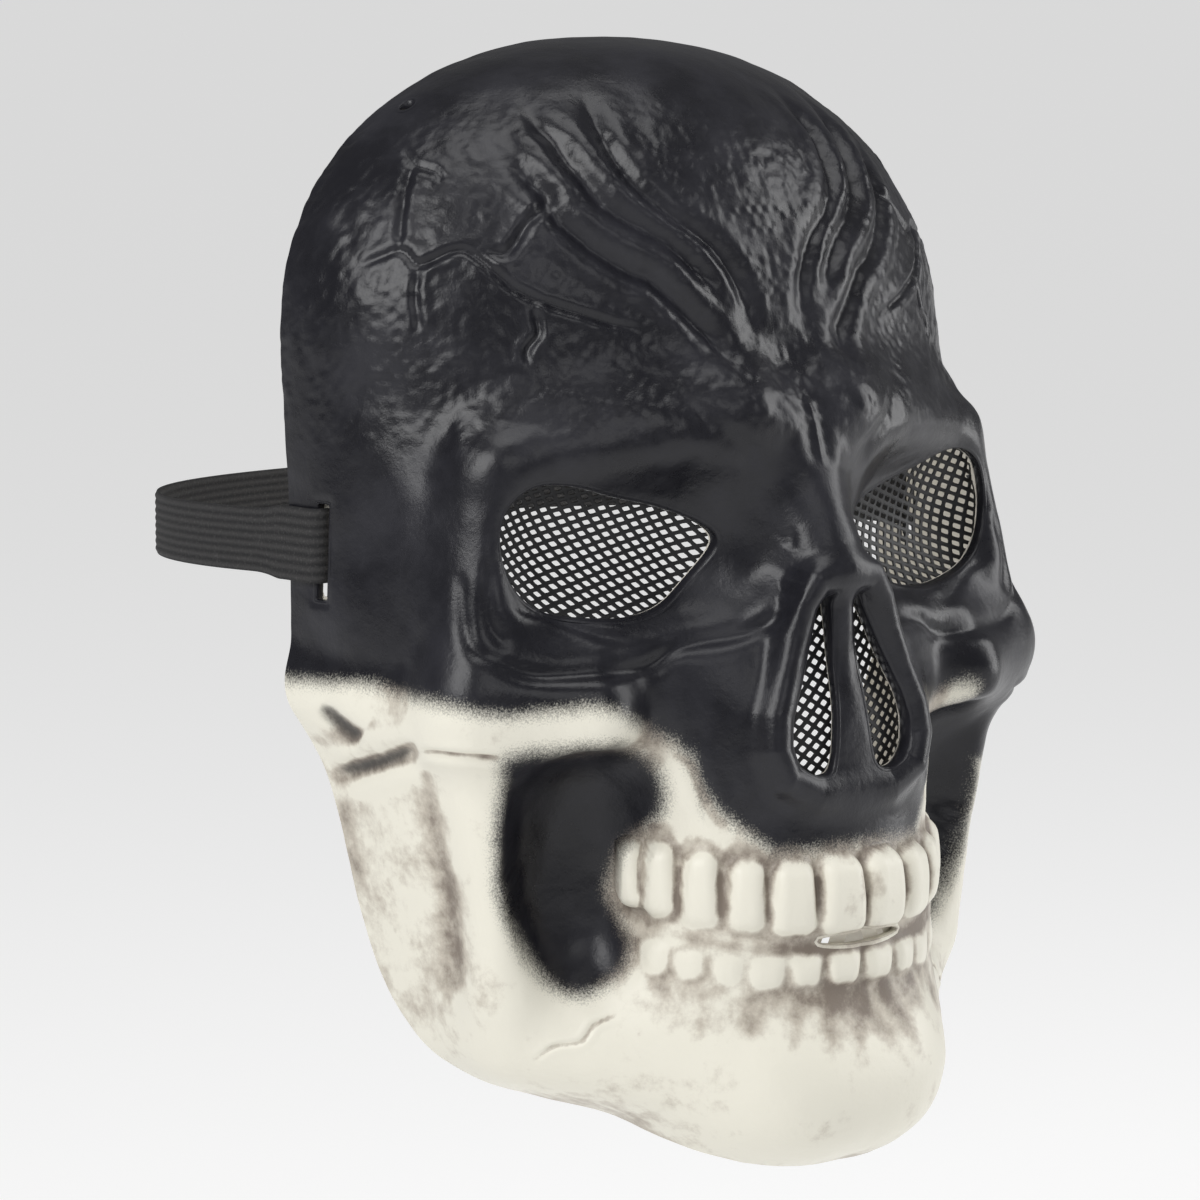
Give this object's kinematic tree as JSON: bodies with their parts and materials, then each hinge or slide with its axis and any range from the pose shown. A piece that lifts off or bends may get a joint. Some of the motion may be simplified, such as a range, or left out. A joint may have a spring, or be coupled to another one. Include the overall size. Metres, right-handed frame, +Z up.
{
  "type": "skull mask",
  "caption": "Full-face costume mask moulded as a skull, with mesh-covered eye and nose openings and an elastic head strap.",
  "frame": {"origin": "midway between the two strap slots, where the wearer's head sits in the mask", "axes": "+Z up, the face looks along -Y, +X towards the wearer's left"},
  "size_m": [0.2064, 0.2232, 0.2776],
  "materials": {
    "shell": "satin black paint above, aged cream paint on the cheek arch, teeth and jaw",
    "mesh": "black coated expanded mesh",
    "strap": "ribbed black elastic"
  },
  "bodies": {
    "root": {"mask_shell": "shell", "eye_mesh_right": "mesh", "eye_mesh_left": "mesh", "nose_mesh": "mesh", "head_strap": "strap"}
  },
  "joints": []
}
